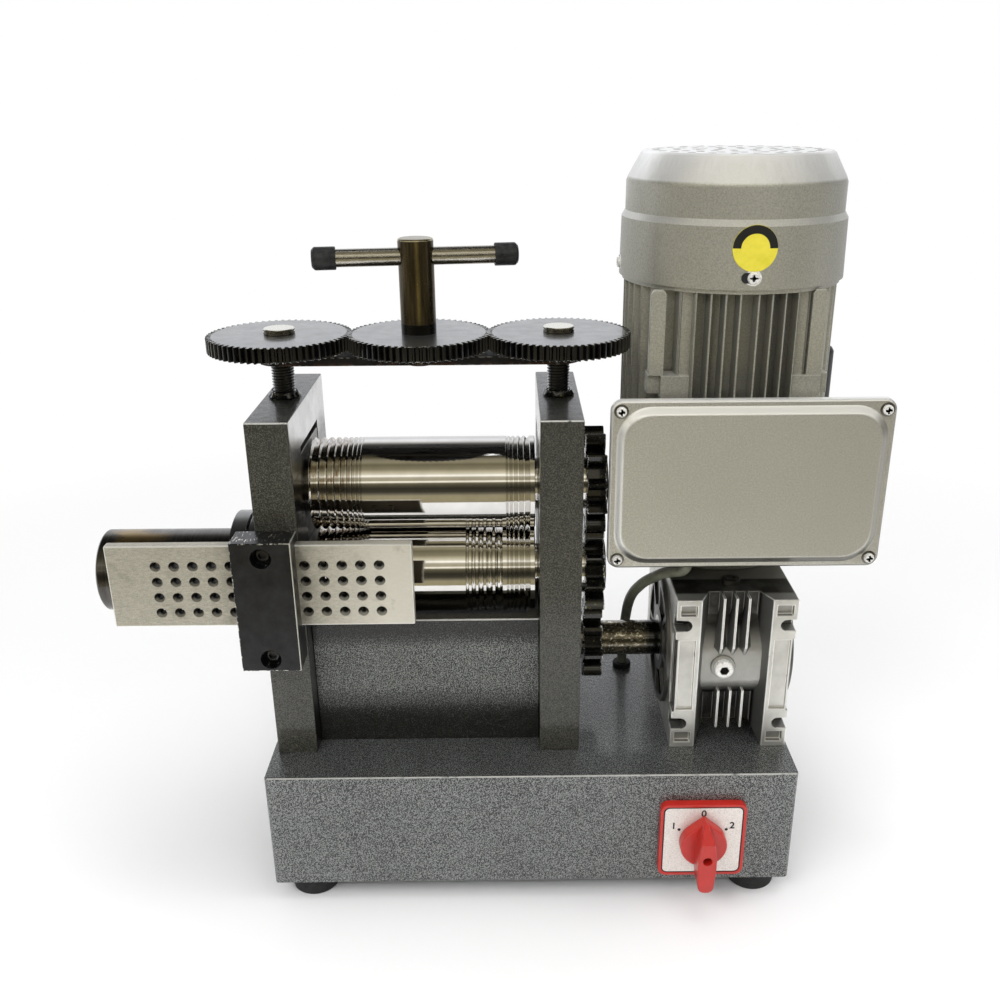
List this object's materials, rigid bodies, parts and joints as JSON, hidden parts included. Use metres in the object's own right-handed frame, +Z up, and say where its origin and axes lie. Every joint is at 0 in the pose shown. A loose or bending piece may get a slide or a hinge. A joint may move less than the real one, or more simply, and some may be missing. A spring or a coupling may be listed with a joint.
{
  "type": "jewelry rolling mill",
  "caption": "Motor-driven jewellery rolling mill: grooved steel rolls in a geared-screw stand, worm gearbox and upright motor on a box base, with drawplate and shaft extension.",
  "frame": {"origin": "on the floor under the middle of the mill's outer box", "axes": "+X to the right along the rolls, towards the motor; +Y to the back; +Z up"},
  "size_m": [0.565, 0.27, 0.519],
  "materials": {
    "hammertone": "glossy hammered enamel",
    "black_oxide": "blackened, oily",
    "gear_train": "greasy black",
    "polished_steel": "mirror polished",
    "bright_steel": "turned bright",
    "plate_steel": "matte bright",
    "temper_steel": "hardened, temper tinted",
    "oily_steel": "brown oily",
    "column_steel": "brown oiled",
    "bearing_steel": "machined",
    "cast_aluminium": "as cast",
    "motor_paint": "fine speckled champagne silver",
    "box_paint": "satin silver beige",
    "cable_sheath": "satin olive grey",
    "black_rubber": "matte",
    "black_plastic": "moulded",
    "red_plastic": "moulded, satin",
    "switch_plate": "brushed silver"
  },
  "bodies": {
    "frame": {"base_housing": "hammertone", "base_bottom_cover": "hammertone", "rubber_feet": "black_rubber", "left_upright": "hammertone", "right_upright": "hammertone", "cross_member": "hammertone", "lower_bearing_blocks": "bearing_steel", "screw_collars": "black_oxide", "drawplate_holder": "black_oxide", "drawplate": "plate_steel", "gearbox_housing": "cast_aluminium", "gearbox_side_covers": "cast_aluminium", "gearbox_plugs": "bright_steel", "motor_flange": "motor_paint", "motor_body": "motor_paint", "motor_fan_cowl": "motor_paint", "capacitor_housing": "black_plastic", "electric_box_body": "box_paint", "electric_box_cover": "box_paint", "supply_cable": "cable_sheath", "cable_glands": "black_rubber", "switch_frame": "red_plastic", "switch_face": "switch_plate"},
    "lower_roll": {"lower_roll": "polished_steel", "shaft_extension": "temper_steel", "lock_nuts": "black_oxide", "lower_roll_gear": "gear_train"},
    "upper_blocks": {"upper_bearing_blocks": "bearing_steel"},
    "upper_roll": {"upper_roll": "polished_steel", "upper_roll_gear": "gear_train"},
    "drive": {"drive_shaft": "oily_steel", "drive_pinion": "gear_train", "hollow_shaft": "bright_steel"},
    "bridge": {"gear_bridge": "black_oxide"},
    "handle": {"centre_gear": "black_oxide", "handle_column": "column_steel", "handle_bar": "polished_steel", "handle_caps": "black_plastic"},
    "left_adjuster": {"left_screw": "black_oxide", "left_screw_gear": "black_oxide", "left_gear_cap": "bright_steel"},
    "right_adjuster": {"right_screw": "black_oxide", "right_screw_gear": "black_oxide", "right_gear_cap": "bright_steel"},
    "switch_knob": {"switch_knob": "red_plastic"}
  },
  "joints": [
    {"name": "lower_roll_spin", "type": "hinge", "parent": "frame", "child": "lower_roll", "pos_m": [-0.05852, -0.0061, 0.2273], "axis": [1, 0, 0], "continuous": true},
    {"name": "upper_roll_lift", "type": "slide", "parent": "frame", "child": "upper_blocks", "axis": [0, 0, 1], "range_m": [0, 0.004]},
    {"name": "upper_roll_spin", "type": "hinge", "parent": "upper_blocks", "child": "upper_roll", "pos_m": [-0.05852, -0.0061, 0.2944], "axis": [1, 0, 0], "continuous": true},
    {"name": "drive_spin", "type": "hinge", "parent": "frame", "child": "drive", "pos_m": [0.10148, -0.01, 0.168], "axis": [1, 0, 0], "continuous": true},
    {"name": "bridge_lift", "type": "slide", "parent": "frame", "child": "bridge", "axis": [0, 0, 1], "range_m": [0, 0.004]},
    {"name": "handle_turn", "type": "hinge", "parent": "bridge", "child": "handle", "pos_m": [-0.04362, -0.0061, 0.404], "axis": [0, 0, 1], "range_deg": [-720, 0]},
    {"name": "left_screw_turn", "type": "hinge", "parent": "bridge", "child": "left_adjuster", "pos_m": [-0.13962, -0.0061, 0.404], "axis": [0, 0, 1], "range_deg": [0, 720]},
    {"name": "right_screw_turn", "type": "hinge", "parent": "bridge", "child": "right_adjuster", "pos_m": [0.05238, -0.0061, 0.404], "axis": [0, 0, 1], "range_deg": [0, 720]},
    {"name": "switch_turn", "type": "hinge", "parent": "frame", "child": "switch_knob", "pos_m": [0.15448, -0.115, 0.0556], "axis": [0, 1, 0], "range_deg": [-60, 60]}
  ],
  "couplings": [
    {"joint": "upper_roll_spin", "follows": "lower_roll_spin", "ratio": -1},
    {"joint": "drive_spin", "follows": "lower_roll_spin", "ratio": -1.3333},
    {"joint": "left_screw_turn", "follows": "handle_turn", "ratio": -1},
    {"joint": "right_screw_turn", "follows": "handle_turn", "ratio": -1},
    {"joint": "bridge_lift", "follows": "handle_turn", "m_per_rad": -0.0003183},
    {"joint": "upper_roll_lift", "follows": "handle_turn", "m_per_rad": -0.0003183}
  ]
}
